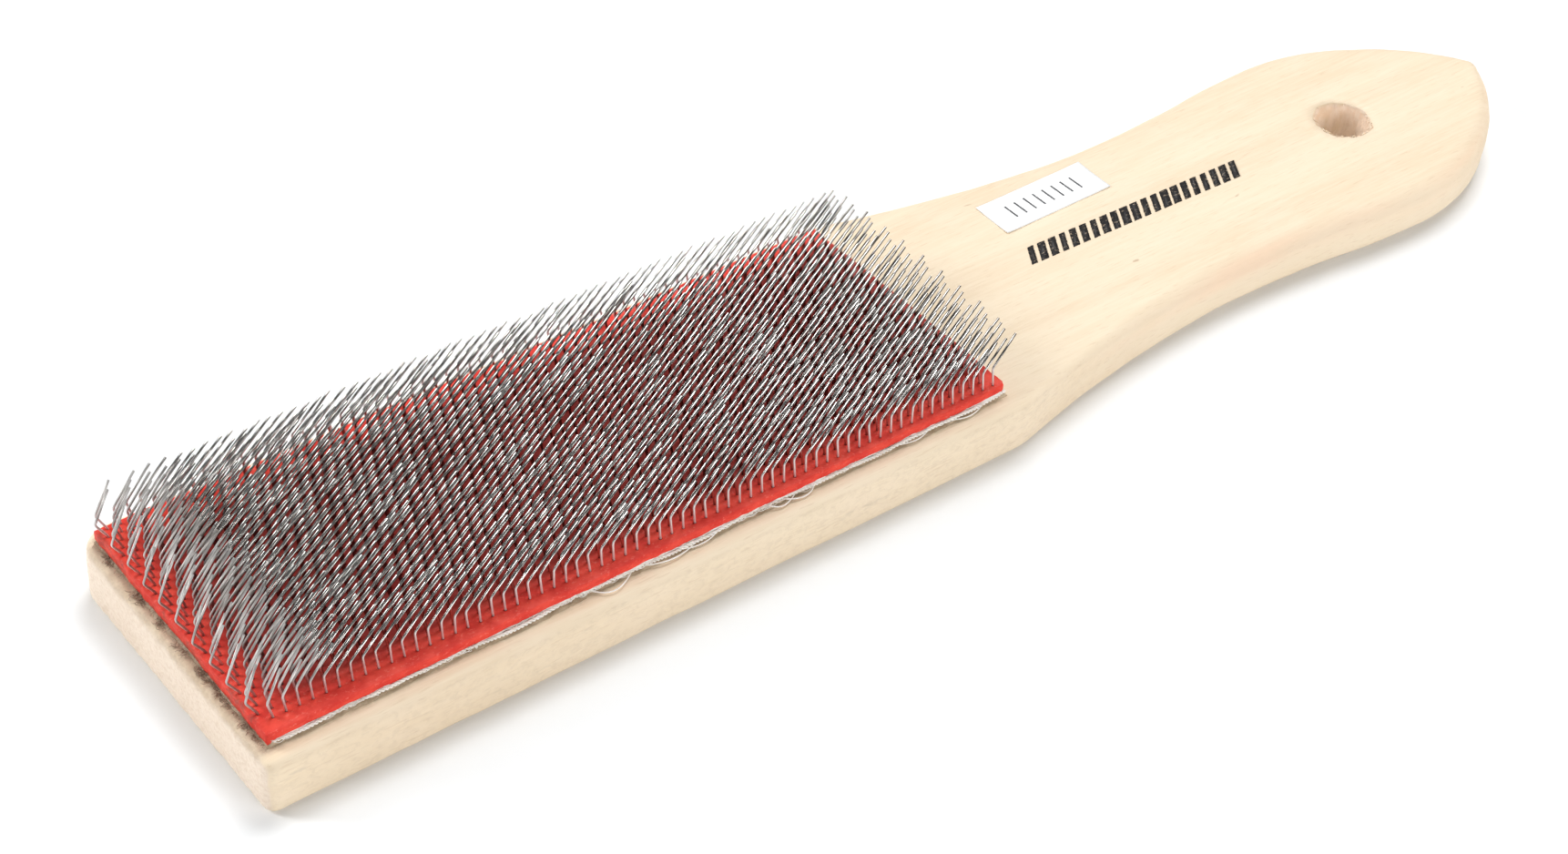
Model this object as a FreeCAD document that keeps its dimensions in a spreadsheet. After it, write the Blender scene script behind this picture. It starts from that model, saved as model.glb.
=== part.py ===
import FreeCAD, Part
import Sketcher
import math
import os

# A hand card for cleaning files: a wooden paddle with a strip of card clothing cemented to its head.
# The strip is a cotton backing under a rubber face, pierced by rows of bent steel wire staples.
# +X runs from the head's front end to the handle's tip, +Z is up through the wires, and the origin
# is under the middle of the board, on the surface it lies on. Millimetres.

Vector = FreeCAD.Vector
UP = Vector(0, 0, 1)

doc = FreeCAD.newDocument("FileCard")
sheet = doc.addObject("Spreadsheet::Sheet", "Dimensions")

DRIVING = {
    # the board, front to back
    "card_front_gap": 2.0,
    "card_length": 116.0,
    "shoulder_gap": 0.5,
    "shoulder_to_neck": 50.0,
    "neck_to_swell": 38.0,
    "swell_to_tip": 33.5,
    # the board, across and through
    "head_width": 48.8,
    "neck_width": 36.2,
    "swell_width": 40.8,
    "board_thickness": 8.4,
    # the board's corners and edges
    "front_corner_radius": 2.0,
    "shoulder_radius": 12.0,
    "tip_radius": 2.4,
    "top_edge_round": 1.6,
    "bottom_edge_round": 1.2,
    # the hanging hole
    "hole_diameter": 9.0,
    "hole_to_tip": 31.8,
    # the layers of the card clothing
    "card_side_margin": 3.0,
    "cement_cover": 0.03,
    "cotton_thickness": 0.75,
    "rubber_thickness": 0.95,
    # the field of wires
    "front_root_gap": 1.0,
    "rear_root_gap": 1.8,
    "side_root_gap": 1.5,
    "wire_diameter": 0.33,
    "pierce_clearance": 0.03,
    "knee_height": 3.1,
    "knee_setback": 0.7,
    "wire_height": 7.5,
    "wire_reach": 4.2,
    # the paper label
    "label_length": 21.2,
    "label_width": 7.4,
    "label_thickness": 0.1,
    "label_to_tip": 86.2,
    "label_offset": 10.3,
    "label_turn": 1.0,
}

# how many of each there are
WIRE_LINES = 30
STAPLES_PER_LINE = 63
TWILL = 3  # a staple spans this many lines, and the lines' stagger repeats after as many

for row, (alias, value) in enumerate(DRIVING.items(), start=1):
    sheet.set(f"A{row}", alias)
    sheet.set(f"B{row}", str(value))
    sheet.setAlias(f"B{row}", alias)
doc.recompute()


def size(alias):
    return float(getattr(sheet, alias))


# ---- places that several pieces share, all worked out from the sheet -------------------------------

shoulder_x = size("card_front_gap") + size("card_length") + size("shoulder_gap")
neck_x = shoulder_x + size("shoulder_to_neck")
swell_x = neck_x + size("neck_to_swell")
overall_length = swell_x + size("swell_to_tip")
front_x = -overall_length / 2

OVERALL = ("(Dimensions.card_front_gap + Dimensions.card_length + Dimensions.shoulder_gap"
           " + Dimensions.shoulder_to_neck + Dimensions.neck_to_swell + Dimensions.swell_to_tip)")

wire_radius = size("wire_diameter") / 2
pierce_half = wire_radius + size("pierce_clearance")  # half the side of a pierced hole
cement_thickness = size("wire_diameter") + 2 * size("cement_cover")
card_width = size("head_width") - 2 * size("card_side_margin")
card_low_x = front_x + size("card_front_gap")
card_high_x = card_low_x + size("card_length")

board_top = size("board_thickness")
cement_top = board_top + cement_thickness
cotton_top = cement_top + size("cotton_thickness")
rubber_top = cotton_top + size("rubber_thickness")

# the legs lean towards the front end as they rise, from the crown to the knee
lean = -size("knee_setback") / size("knee_height")

line_spacing = (card_width - 2 * size("side_root_gap")) / (WIRE_LINES - 1)
root_span = size("card_length") - size("front_root_gap") - size("rear_root_gap")
staple_pitch = root_span / (STAPLES_PER_LINE - 1 + (TWILL - 1) / TWILL)


def line_y(line):
    """How far across the card a line of wires stands."""
    return (line - (WIRE_LINES - 1) / 2) * line_spacing


def root_x(line, place):
    """Where a wire leaves the rubber's top: the lines are set in steps of a third of a pitch."""
    stagger = ((line + TWILL - 1) % TWILL) * staple_pitch / TWILL
    return card_low_x + size("front_root_gap") + stagger + place * staple_pitch


def wire_x(line, place, height):
    """Where the straight lower leg is at a height above the origin."""
    return root_x(line, place) + lean * (height - rubber_top)


# ---- the wooden handle: one board, sawn to a paddle, drilled and rounded ---------------------------

def plane(body, role):
    return next(f for f in body.Origin.OriginFeatures if f.Role == role)


def sketch_on(body, name, role="XY_Plane"):
    sketch = body.newObject("Sketcher::SketchObject", name)
    sketch.AttachmentSupport = (plane(body, role), [""])
    sketch.MapMode = "FlatFace"
    return sketch


def arc(centre, radius, start, end):
    """An anticlockwise arc from one point to another."""
    circle = Part.Circle(centre, UP, radius)
    angle = [math.atan2(p.y - centre.y, p.x - centre.x) for p in (start, end)]
    return Part.ArcOfCircle(circle, angle[0], angle[1])


def towards(start, end, distance):
    return start + (end - start).normalize() * distance


def half_outline():
    """The far half of the paddle's outline, as tangent arcs, from the front end round to the tip."""
    half_head, half_neck, half_swell = (size(w) / 2 for w in ("head_width", "neck_width", "swell_width"))
    corner, shoulder, tip = size("front_corner_radius"), size("shoulder_radius"), size("tip_radius")
    x_shoulder, x_neck, x_swell = front_x + shoulder_x, front_x + neck_x, front_x + swell_x
    x_tip = -front_x

    run = x_neck - x_shoulder
    drop = half_neck - half_head + shoulder
    neck = (run**2 + drop**2 - shoulder**2) / (2 * (shoulder - drop))
    run = x_swell - x_neck
    rise = half_neck + neck - half_swell
    swell = (run**2 + rise**2 - neck**2) / (2 * (neck - rise))
    run = x_tip - tip - x_swell
    ogive = (run**2 + half_swell**2 - tip**2) / (2 * (half_swell - tip))

    corner_c = Vector(front_x + corner, half_head - corner, 0)
    shoulder_c = Vector(x_shoulder, half_head - shoulder, 0)
    neck_c = Vector(x_neck, half_neck + neck, 0)
    swell_c = Vector(x_swell, half_swell - swell, 0)
    ogive_c = Vector(x_swell, half_swell - ogive, 0)
    tip_c = Vector(x_tip - tip, 0, 0)

    front_mid = Vector(front_x, 0, 0)
    front_end = Vector(front_x, half_head - corner, 0)
    side_start = Vector(front_x + corner, half_head, 0)
    side_end = Vector(x_shoulder, half_head, 0)
    into_neck = towards(shoulder_c, neck_c, shoulder)
    into_swell = towards(swell_c, neck_c, swell)
    crest = Vector(x_swell, half_swell, 0)
    into_tip = towards(ogive_c, tip_c, ogive)
    tip_point = Vector(x_tip, 0, 0)

    return [
        Part.LineSegment(front_mid, front_end),
        arc(corner_c, corner, side_start, front_end),
        Part.LineSegment(side_start, side_end),
        arc(shoulder_c, shoulder, into_neck, side_end),
        arc(neck_c, neck, into_neck, into_swell),
        arc(swell_c, swell, crest, into_swell),
        arc(ogive_c, ogive, into_tip, crest),
        arc(tip_c, tip, tip_point, into_tip),
        Part.LineSegment(tip_point, front_mid),
    ]


def draw_outline(sketch):
    front, corner, side, shoulder, neck, swell, ogive, tip, axis = range(9)
    start, end, centre = 1, 2, 3
    origin = (-1, 1)
    sketch.addGeometry(half_outline(), False)

    def relate(kind, *references):
        sketch.addConstraint(Sketcher.Constraint(kind, *references))

    def dimension(kind, references, name, expression, value):
        index = sketch.addConstraint(Sketcher.Constraint(kind, *references, value))
        sketch.renameConstraint(index, name)
        sketch.setExpression(f"Constraints.{name}", expression)

    # each piece of the outline runs smoothly into the next
    relate("Tangent", front, end, corner, end)
    relate("Tangent", corner, start, side, start)
    relate("Tangent", side, end, shoulder, end)
    relate("Tangent", shoulder, start, neck, start)
    relate("Tangent", neck, end, swell, end)
    relate("Tangent", swell, start, ogive, end)
    relate("Tangent", ogive, start, tip, end)
    relate("Coincident", tip, start, axis, start)
    relate("Coincident", axis, end, front, start)
    relate("Vertical", front)
    relate("Horizontal", side)
    relate("PointOnObject", front, start, -1)
    relate("PointOnObject", tip, start, -1)
    relate("PointOnObject", tip, centre, -1)
    relate("Vertical", swell, centre, swell, start)

    half = overall_length / 2
    head, waist, crest = size("head_width") / 2, size("neck_width") / 2, size("swell_width") / 2
    neck_radius = sketch.Geometry[neck].Radius
    dimension("DistanceX", (front, start, *origin), "half_length", f"{OVERALL} / 2", half)
    dimension("DistanceX", (front, start, tip, start), "length", OVERALL, overall_length)
    dimension("DistanceY", (*origin, side, start), "half_head", "Dimensions.head_width / 2", head)
    dimension("DistanceX", (front, start, side, end), "to_shoulder",
              "Dimensions.card_front_gap + Dimensions.card_length + Dimensions.shoulder_gap", shoulder_x)
    dimension("DistanceX", (side, end, neck, centre), "to_neck",
              "Dimensions.shoulder_to_neck", size("shoulder_to_neck"))
    dimension("Radius", (neck,), "neck_radius",
              "((Dimensions.shoulder_to_neck ^ 2 + (Dimensions.neck_width / 2 - Dimensions.head_width / 2"
              " + Dimensions.shoulder_radius) ^ 2 - Dimensions.shoulder_radius ^ 2)"
              " / (Dimensions.head_width - Dimensions.neck_width))", neck_radius)
    dimension("DistanceX", (neck, centre, swell, start), "to_swell",
              "Dimensions.neck_to_swell", size("neck_to_swell"))
    dimension("DistanceY", (*origin, swell, start), "half_swell", "Dimensions.swell_width / 2", crest)
    dimension("Radius", (corner,), "corner_radius",
              "Dimensions.front_corner_radius", size("front_corner_radius"))
    dimension("Radius", (shoulder,), "shoulder_radius",
              "Dimensions.shoulder_radius", size("shoulder_radius"))
    dimension("Radius", (tip,), "tip_radius", "Dimensions.tip_radius", size("tip_radius"))
    doc.recompute()
    lowest = sketch.Geometry[neck].Center.y - sketch.Geometry[neck].Radius
    if abs(lowest - waist) > 1e-4:
        raise RuntimeError(f"the neck came out {2 * lowest:.3f} wide")


def rim_edges(shape, height, hole_x):
    """The names of the outline's edges at one height, leaving out the hole's own rim."""
    names = []
    for number, edge in enumerate(shape.Edges, start=1):
        box = edge.BoundBox
        level = abs(box.ZMin - height) < 1e-6 and abs(box.ZMax - height) < 1e-6
        on_hole = abs(edge.CenterOfMass.x - hole_x) < 1e-3 and box.XLength < size("hole_diameter") + 1e-3
        if level and not on_hole:
            names.append(f"Edge{number}")
    return names


def make_handle():
    body = doc.addObject("PartDesign::Body", "Handle")
    body.Label = "handle"

    outline = sketch_on(body, "HalfOutline")
    draw_outline(outline)
    board = body.newObject("PartDesign::Pad", "Board")
    board.Profile = outline
    board.setExpression("Length", "Dimensions.board_thickness")
    outline.Visibility = False
    doc.recompute()

    whole = body.newObject("PartDesign::Mirrored", "WholeBoard")
    whole.Originals = [board]
    whole.MirrorPlane = (plane(body, "XZ_Plane"), [""])
    body.Tip = whole
    doc.recompute()

    hole_x = -front_x - size("hole_to_tip")
    ring = sketch_on(body, "HangingHoleCircle")
    ring.addGeometry(Part.Circle(Vector(hole_x, 0, 0), UP, size("hole_diameter") / 2), False)
    ring.addConstraint(Sketcher.Constraint("PointOnObject", 0, 3, -1))
    bore = ring.addConstraint(Sketcher.Constraint("Diameter", 0, size("hole_diameter")))
    ring.renameConstraint(bore, "bore")
    ring.setExpression("Constraints.bore", "Dimensions.hole_diameter")
    place = ring.addConstraint(Sketcher.Constraint("DistanceX", -1, 1, 0, 3, hole_x))
    ring.renameConstraint(place, "place")
    ring.setExpression("Constraints.place", f"{OVERALL} / 2 - Dimensions.hole_to_tip")
    drilled = body.newObject("PartDesign::Pocket", "HangingHole")
    drilled.Profile = ring
    drilled.Type = "ThroughAll"
    drilled.Reversed = True
    doc.recompute()
    bored = math.pi * size("hole_diameter") ** 2 / 4 * board_top
    if abs(whole.Shape.Volume - drilled.Shape.Volume - bored) > 1e-3:
        raise RuntimeError("the hanging hole did not go through the board")

    top = body.newObject("PartDesign::Fillet", "TopRounding")
    top.Base = (drilled, rim_edges(drilled.Shape, board_top, hole_x))
    top.setExpression("Radius", "Dimensions.top_edge_round")
    doc.recompute()
    bottom = body.newObject("PartDesign::Fillet", "BottomRounding")
    bottom.Base = (top, rim_edges(top.Shape, 0.0, hole_x))
    bottom.setExpression("Radius", "Dimensions.bottom_edge_round")
    body.Tip = bottom
    doc.recompute()
    return body


# ---- the card clothing's layers, pierced by every wire ---------------------------------------------

def rectangle(x_low, x_high, y_low, y_high):
    corners = [Vector(x_low, y_low, 0), Vector(x_high, y_low, 0),
               Vector(x_high, y_high, 0), Vector(x_low, y_high, 0)]
    return Part.makePolygon(corners + corners[:1])


def pierced_layer(name, low, thickness, strips):
    """One layer of the card. strips gives each lengthwise strip's two edges and its cut-outs.

    The cut-outs run through the layer along the legs' lean, and its outer edges are upright. The
    top and the underside are left as strips, side by side, so that no one face has every hole.
    """
    slant = Vector(lean * thickness, 0, thickness)
    rise = Vector(0, 0, thickness)
    half_width = card_width / 2
    skin = []
    for y_low, y_high, cut_outs in strips:
        edge = rectangle(card_low_x, card_high_x, y_low, y_high)
        for cut_out in cut_outs:
            cut_out.reverse()
            skin += cut_out.extrude(slant).Faces
        skin.append(Part.Face([edge] + cut_outs))
        skin.append(Part.Face([edge.translated(rise)] + [cut_out.translated(slant) for cut_out in cut_outs]))
        for x in (card_low_x, card_high_x):
            skin.append(Part.makeLine(Vector(x, y_low, 0), Vector(x, y_high, 0)).extrude(rise))
    for y in (-half_width, half_width):
        skin.append(Part.makeLine(Vector(card_low_x, y, 0), Vector(card_high_x, y, 0)).extrude(rise))
    sewn = Part.makeCompound(skin)
    sewn.sewShape(1e-5)
    layer = doc.addObject("Part::Feature", name.title().replace("_", ""))
    layer.Label = name
    layer.Shape = Part.Solid(sewn.Shells[0])
    layer.Placement = FreeCAD.Placement(Vector(0, 0, low), FreeCAD.Rotation())
    return layer


def strip_edges(first_line, last_line):
    """The two long edges of the strip that holds these lines: half-way to the next, or the card's."""
    low = -card_width / 2 if first_line == 0 else line_y(first_line - 0.5)
    high = card_width / 2 if last_line == WIRE_LINES - 1 else line_y(last_line + 0.5)
    return low, high


def make_pierced_sheet(name, low, thickness):
    """The cotton backing or the rubber face, with a square-punched hole for every leg."""
    strips = []
    for line in range(WIRE_LINES):
        y = line_y(line)
        holes = []
        for place in range(STAPLES_PER_LINE):
            x = wire_x(line, place, low)
            holes.append(rectangle(x - pierce_half, x + pierce_half, y - pierce_half, y + pierce_half))
        strips.append((*strip_edges(line, line), holes))
    return pierced_layer(name, low, thickness, strips)


def make_cement():
    """The cement between the board and the cotton, which the staples' crowns lie in."""
    strips = []
    for first in range(0, WIRE_LINES, 2 * TWILL):
        beds = []
        for line in range(first, first + TWILL):
            y_low = line_y(line) - pierce_half
            y_high = line_y(line + TWILL) + pierce_half
            for place in range(STAPLES_PER_LINE):
                x = wire_x(line, place, board_top)
                beds.append(rectangle(x - pierce_half, x + pierce_half, y_low, y_high))
        strips.append((*strip_edges(first, first + 2 * TWILL - 1), beds))
    return pierced_layer("cement_layer", board_top, cement_thickness, strips)


# ---- the wire staples: a crown under the cotton and two legs with a knee ----------------------------

def make_staple():
    """One staple, with its first leg's root at the origin and its other leg across the card."""
    crown_z = board_top + cement_thickness / 2 - rubber_top
    across = Vector(0, TWILL * line_spacing, 0)
    near_leg = [Vector(size("wire_reach"), 0, size("wire_height")),
                Vector(-size("knee_setback"), 0, size("knee_height")),
                Vector(lean * crown_z, 0, crown_z)]
    far_leg = [point + across for point in reversed(near_leg)]
    path = Part.makePolygon(near_leg + far_leg)
    tip, knee = near_leg[:2]
    section = Part.Wire([Part.makeCircle(wire_radius, tip, knee - tip)])
    make_solid, keep_level, mitred = True, False, 1
    staple = path.makePipeShell([section], make_solid, keep_level, mitred)
    expected = math.pi * wire_radius**2 * path.Length
    if abs(staple.Volume / expected - 1) > 0.01:
        raise RuntimeError("the wire is not as thick as its section all the way")
    return staple


def make_staple_line(number, line, staple):
    """All the staples whose near legs stand in one line along the card."""
    copies = []
    for place in range(STAPLES_PER_LINE):
        copy = staple.copy()
        copy.translate(Vector(root_x(line, place), line_y(line), 0))
        copies.append(copy)
    row = doc.addObject("Part::Feature", f"StapleLine{number:02d}")
    row.Label = f"staple_line_{number:02d}"
    row.Shape = Part.makeCompound(copies)
    row.Placement = FreeCAD.Placement(Vector(0, 0, rubber_top), FreeCAD.Rotation())
    return row


# ---- the paper label, stuck on the handle ----------------------------------------------------------

def make_label():
    label = doc.addObject("Part::Box", "PaperLabel")
    label.Label = "paper_label"
    label.setExpression("Length", "Dimensions.label_length")
    label.setExpression("Width", "Dimensions.label_width")
    label.setExpression("Height", "Dimensions.label_thickness")
    label.Placement = FreeCAD.Placement(Vector(), FreeCAD.Rotation(UP, size("label_turn")))
    label.setExpression("Placement.Rotation.Angle", "Dimensions.label_turn * 1 deg")
    label.setExpression("Placement.Base.x", f"{OVERALL} / 2 - Dimensions.label_to_tip"
                        " - Dimensions.label_length / 2")
    label.setExpression("Placement.Base.y", "Dimensions.label_offset - Dimensions.label_width / 2")
    label.setExpression("Placement.Base.z", "Dimensions.board_thickness")
    return label


# ---- the whole file card, then one file for each piece ---------------------------------------------

pieces = [make_handle(), make_cement()]
pieces.append(make_pierced_sheet("cotton_backing", cement_top, size("cotton_thickness")))
pieces.append(make_pierced_sheet("rubber_face", cotton_top, size("rubber_thickness")))

one_staple = make_staple()
near_lines = [line for line in range(WIRE_LINES) if line % (2 * TWILL) < TWILL]
for staple_number, near_line in enumerate(near_lines, start=1):
    pieces.append(make_staple_line(staple_number, near_line, one_staple))
pieces.append(make_label())
doc.recompute()

for thing in doc.Objects:
    if "Invalid" in thing.State or "Error" in thing.State:
        raise RuntimeError(f"{thing.Label} did not build: {thing.State}")
for piece in pieces:
    if piece.Shape.isNull() or not piece.Shape.isValid():
        raise RuntimeError(f"{piece.Label} has no valid shape")

os.makedirs("parts", exist_ok=True)
for piece in pieces:
    piece.Shape.exportStep(f"parts/{piece.Label}.step")
print(f"{len(pieces)} pieces, {overall_length:g} long, "
      f"{sum(len(piece.Shape.Solids) for piece in pieces)} solids")
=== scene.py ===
import math

import bpy
import numpy as np
from mathutils import Matrix, Vector
from mathutils.geometry import delaunay_2d_cdt


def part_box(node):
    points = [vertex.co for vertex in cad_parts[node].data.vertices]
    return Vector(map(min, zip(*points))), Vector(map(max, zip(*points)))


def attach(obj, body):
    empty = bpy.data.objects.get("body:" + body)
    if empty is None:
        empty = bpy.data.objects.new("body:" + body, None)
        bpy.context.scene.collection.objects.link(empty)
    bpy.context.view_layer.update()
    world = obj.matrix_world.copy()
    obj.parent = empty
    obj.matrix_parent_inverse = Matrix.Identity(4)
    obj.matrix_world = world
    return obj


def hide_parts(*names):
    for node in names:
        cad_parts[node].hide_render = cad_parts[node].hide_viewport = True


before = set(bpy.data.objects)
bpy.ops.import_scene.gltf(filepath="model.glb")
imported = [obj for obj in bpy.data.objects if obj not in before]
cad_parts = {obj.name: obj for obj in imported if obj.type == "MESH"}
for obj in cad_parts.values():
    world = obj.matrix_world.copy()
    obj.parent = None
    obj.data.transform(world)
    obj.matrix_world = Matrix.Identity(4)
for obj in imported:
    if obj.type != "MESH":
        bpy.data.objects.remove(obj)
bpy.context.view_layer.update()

# ---- The floor, the light and the camera -----------------
# The card lies wires up on a plain white sweep, under a large soft lamp high behind its far rear
# side. A smaller one at the far front draws the lines of light on the wires, and two low ones fill
# the near sides.

world = bpy.data.worlds.new("white_room")
world.use_nodes = True
room_light = world.node_tree.nodes["Background"].inputs
room_light["Color"].default_value = (0.93, 0.97, 1.0, 1)
room_light["Strength"].default_value = 0.13
bpy.context.scene.world = world
bpy.context.scene.view_settings.view_transform = "Standard"

floor_half = 3.0
floor_mesh = bpy.data.meshes.new("floor")
floor_corners = [(x * floor_half, y * floor_half, 0)
                 for x, y in ((-1, -1), (1, -1), (1, 1), (-1, 1))]
floor_mesh.from_pydata(floor_corners, [], [(0, 1, 2, 3)])
floor = bpy.data.objects.new("floor", floor_mesh)
bpy.context.collection.objects.link(floor)
floor_paint = bpy.data.materials.new("floor_paint")
floor_paint.use_nodes = True
paint = floor_paint.node_tree.nodes["Principled BSDF"].inputs
paint["Base Color"].default_value = (0.955, 0.97, 0.985, 1)
paint["Roughness"].default_value = 0.9
paint["Specular IOR Level"].default_value = 0.1
floor.data.materials.append(floor_paint)


def soft_lamp(name, place, across, along, power):
    """A soft box aimed at the middle of the object; across is its level side."""
    lamp = bpy.data.lights.new(name, "AREA")
    lamp.shape = "RECTANGLE"
    lamp.size, lamp.size_y = across, along
    lamp.energy = power
    holder = bpy.data.objects.new(name, lamp)
    holder.location = place
    holder.rotation_euler = (-Vector(place)).to_track_quat("-Z", "Y").to_euler()
    bpy.context.collection.objects.link(holder)


soft_lamp("overhead_lamp", (0.45, 0.34, 1.12), 0.7, 0.7, 12.3)
soft_lamp("wire_lamp", (-0.81, 0.79, 0.62), 0.38, 0.6, 9.2)
soft_lamp("front_fill", (-1.2, 0.0, 0.35), 1.0, 0.4, 1.6)
soft_lamp("near_fill", (0.1, -1.3, 0.5), 1.0, 0.5, 10.3)

camera_place = (-0.221437, -0.228005, 0.255673)
turn, tilt, roll = math.radians(-40.984), math.radians(40.516), math.radians(4.661)
towards_camera = Vector((math.sin(turn) * math.cos(tilt), -math.cos(turn) * math.cos(tilt),
                         math.sin(tilt)))
level_right = (-towards_camera).cross(Vector((0, 0, 1))).normalized()
level_up = level_right.cross(-towards_camera)
camera_right = math.cos(roll) * level_right + math.sin(roll) * level_up
camera_up = math.cos(roll) * level_up - math.sin(roll) * level_right
lens = bpy.data.cameras.new("camera")
lens.sensor_width = 36
lens.sensor_fit = "HORIZONTAL"
lens.lens = 64.62
lens.clip_start, lens.clip_end = 0.01, 20
camera = bpy.data.objects.new("camera", lens)
camera.matrix_world = Matrix.Translation(camera_place) @ Matrix(
    (camera_right, camera_up, towards_camera)).transposed().to_4x4()
bpy.context.collection.objects.link(camera)
bpy.context.scene.camera = camera

# ---- The wooden handle -----------------------------------
# One pale beech board, sawn to a paddle on a spindle moulder, drilled for hanging and tumble
# sanded. The head keeps crisp edges, the grip's are sanded softer, and the end grain stays rough.

MM = 0.001
TAU = 2 * math.pi
wood_low, wood_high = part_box("handle")
wood_top = wood_high.z
shoulder_x = wood_low.x + 118.5 * MM
neck_x = shoulder_x + 50 * MM
swell_x = neck_x + 38 * MM
half_head = wood_high.y
half_neck = 18.1 * MM
half_swell = 20.4 * MM
far_corner = 5.0 * MM
near_corner = 1.7 * MM
shoulder_round = 12.0 * MM
tip_round = 2.4 * MM
hole_x = wood_high.x - 31.8 * MM
hole_radius = 4.5 * MM
torn_side = math.radians(235)  # where the drill tore the hole's rim the most


def ripple(points, wavelength, seed):
    """Smooth random heights with a spread of 1. The wavelength may differ along x, y and z."""
    draw = np.random.default_rng(seed)
    count = 24
    waves = draw.normal(size=(count, 3)) / np.array(wavelength)
    starts = draw.uniform(0, TAU, count)
    return np.sin(points @ waves.T * math.pi + starts).sum(axis=1) / math.sqrt(count / 2)


def arc_points(centre_x, centre_y, radius, start, end, spacing):
    """Points along an arc, from one angle to another, without its last point."""
    count = max(2, round(abs(end - start) * radius / spacing))
    angles = np.linspace(start, end, count, endpoint=False)
    return np.column_stack([centre_x + radius * np.cos(angles), centre_y + radius * np.sin(angles)])


def straight_points(start, end, spacing):
    count = max(1, round(math.dist(start, end) / spacing))
    return np.linspace(start, end, count, endpoint=False)


def paddle_half(front_corner):
    """One half of the board's outline, clockwise from the middle of the front end to the tip."""
    run, drop = neck_x - shoulder_x, half_neck - half_head + shoulder_round
    neck_radius = (run**2 + drop**2 - shoulder_round**2) / (2 * (shoulder_round - drop))
    shoulder_angle = math.atan2(neck_radius + drop, run)
    run, climb = swell_x - neck_x, half_neck + neck_radius - half_swell
    swell_radius = (run**2 + climb**2 - neck_radius**2) / (2 * (neck_radius - climb))
    swell_angle = math.atan2(swell_radius + climb, -run)
    run = wood_high.x - tip_round - swell_x
    tip_arc_radius = (run**2 + half_swell**2 - tip_round**2) / (2 * (half_swell - tip_round))
    tip_angle = math.atan2(tip_arc_radius - half_swell, run)
    return np.concatenate([
        straight_points((wood_low.x, 0), (wood_low.x, half_head - front_corner), 0.5 * MM),
        arc_points(wood_low.x + front_corner, half_head - front_corner, front_corner,
                   math.pi, math.pi / 2, 0.3 * MM),
        straight_points((wood_low.x + front_corner, half_head), (shoulder_x, half_head), 1.0 * MM),
        arc_points(shoulder_x, half_head - shoulder_round, shoulder_round,
                   math.pi / 2, shoulder_angle, 0.8 * MM),
        arc_points(neck_x, half_neck + neck_radius, neck_radius,
                   shoulder_angle + math.pi, swell_angle + math.pi, 1.0 * MM),
        arc_points(swell_x, half_swell - swell_radius, swell_radius,
                   swell_angle, math.pi / 2, 1.0 * MM),
        arc_points(swell_x, half_swell - tip_arc_radius, tip_arc_radius,
                   math.pi / 2, tip_angle, 0.8 * MM),
        arc_points(wood_high.x - tip_round, 0, tip_round, tip_angle, 0, 0.3 * MM),
        [(wood_high.x, 0)],
    ])


def inside_loop(points, loop):
    """Which points lie inside a closed loop."""
    ahead = np.roll(loop, -1, axis=0)
    x, y = points[:, 0, None], points[:, 1, None]
    crosses = (loop[:, 1] > y) != (ahead[:, 1] > y)
    rise = np.where(crosses, ahead[:, 1] - loop[:, 1], 1)
    meets = loop[:, 0] + (y - loop[:, 1]) / rise * (ahead[:, 0] - loop[:, 0])
    return (crosses & (x < meets)).sum(axis=1) % 2 == 1


def net_points(low, high, spacing, seed):
    """Points of a triangular net over a rectangle, each pushed a little out of line."""
    draw = np.random.default_rng(seed)
    rows = np.arange(low[1], high[1], spacing * 0.87)
    columns = np.arange(low[0], high[0], spacing)
    grid = np.stack(np.meshgrid(columns, rows), axis=-1)
    grid[1::2, :, 0] += spacing / 2
    grid = grid.reshape(-1, 2)
    return grid + draw.uniform(-0.15, 0.15, grid.shape) * spacing


def filled(loop, hole, extra):
    """Triangles that fill a loop, round a hole and through extra points, numbered in that order."""
    points = np.concatenate([loop, hole, extra])
    edges = [(i, (i + 1) % len(loop)) for i in range(len(loop))]
    edges += [(len(loop) + i, len(loop) + (i + 1) % len(hole)) for i in range(len(hole))]
    made = delaunay_2d_cdt([Vector(p) for p in (points / MM).tolist()], edges, [], 0, 1e-6, True)
    source = np.array([ids[0] for ids in made[3]])
    triangles = source[np.array(made[2])]
    middles = points[triangles].mean(axis=1)
    parts = np.array_split(middles, len(middles) // 4000 + 1)
    keep = np.concatenate([inside_loop(part, loop) for part in parts])
    if len(hole):
        keep &= ~inside_loop(middles, hole)
    a, b, c = (points[triangles[:, i]] for i in range(3))
    b, c = b - a, c - a
    turned = b[:, 0] * c[:, 1] - b[:, 1] * c[:, 0] < 0
    triangles[turned] = triangles[turned][:, ::-1]
    return triangles[keep]


def nearest(points, others):
    """How far each point lies from the nearest of the others."""
    parts = np.array_split(points, len(points) // 2000 + 1)
    return np.concatenate([np.hypot(*(part[:, None] - others).transpose(2, 0, 1)).min(axis=1)
                           for part in parts])


def show(name, points, faces, material, flat_faces=0):
    """Makes a mesh object that rides on the tool. Its last flat_faces faces are shaded flat."""
    mesh = bpy.data.meshes.new(name)
    mesh.from_pydata(np.asarray(points).tolist(), [], faces)
    smooth = np.ones(len(faces), bool)
    if flat_faces:
        smooth[-flat_faces:] = False
    mesh.polygons.foreach_set("use_smooth", smooth)
    mesh.validate()
    mesh.update()
    mesh.materials.append(material)
    piece = bpy.data.objects.new(name, mesh)
    bpy.context.collection.objects.link(piece)
    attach(piece, "root")
    return piece


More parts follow.
